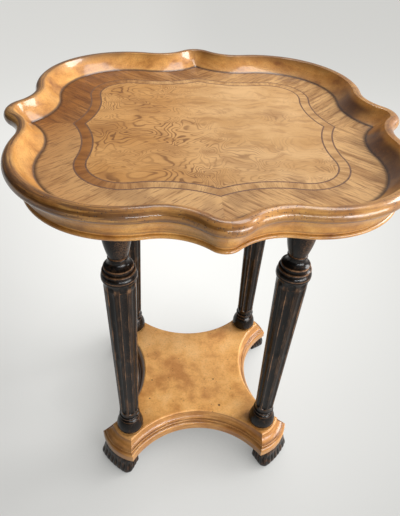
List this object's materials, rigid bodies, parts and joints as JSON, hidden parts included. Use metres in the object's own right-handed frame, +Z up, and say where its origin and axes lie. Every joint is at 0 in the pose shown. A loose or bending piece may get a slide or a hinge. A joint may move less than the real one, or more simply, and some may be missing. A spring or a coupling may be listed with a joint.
{
  "type": "tray top tea table",
  "caption": "Small occasional table: serpentine tray top with a raised moulded rim, four turned fluted legs, a concave-sided lower shelf and reeded feet.",
  "frame": {"origin": "on the floor under the middle of the table", "axes": "+Z up, front of the table towards -Y, +X to the right seen from the front"},
  "size_m": [0.6126, 0.6126, 0.7259],
  "materials": {
    "board_core": "medium density core, matt brown sealer below",
    "border_veneer": "straight-grained veneer, satin lacquer",
    "string_inlay": "dark brown inlaid line, satin lacquer",
    "cross_band": "cross-grained banding, satin lacquer",
    "burl_veneer": "figured burl veneer, satin lacquer",
    "rim_wood": "moulded hardwood, glazed and distressed, soft gloss",
    "hidden_wood": "unfinished hardwood",
    "black_wood": "black paint rubbed through to copper brown, satin",
    "foot_wood": "black paint rubbed through to brown, satin",
    "plinth_wood": "mottled honey veneer and moulding, distressed, satin",
    "screw_steel": "zinc plated",
    "bolt_steel": "zinc plated",
    "glide_nylon": "brown nylon glide"
  },
  "bodies": {
    "root": {"top_board": "board_core", "border_veneer_front_left": "border_veneer", "border_veneer_front_right": "border_veneer", "border_veneer_back_right": "border_veneer", "border_veneer_back_left": "border_veneer", "outer_string": "string_inlay", "inner_string": "string_inlay", "cross_band": "cross_band", "burl_field": "burl_veneer", "rim_front_left": "rim_wood", "rim_front_right": "rim_wood", "rim_back_right": "rim_wood", "rim_back_left": "rim_wood", "rim_biscuits": "hidden_wood", "cleat_left": "hidden_wood", "cleat_right": "hidden_wood", "cleat_screws": "screw_steel", "leg_front_left": "black_wood", "leg_front_right": "black_wood", "leg_back_right": "black_wood", "leg_back_left": "black_wood", "base_plinth": "plinth_wood", "foot_front_left": "foot_wood", "foot_front_right": "foot_wood", "foot_back_right": "foot_wood", "foot_back_left": "foot_wood", "glide_front_left": "glide_nylon", "glide_front_right": "glide_nylon", "glide_back_right": "glide_nylon", "glide_back_left": "glide_nylon", "foot_screws": "screw_steel", "leg_bolts": "bolt_steel"}
  },
  "joints": []
}
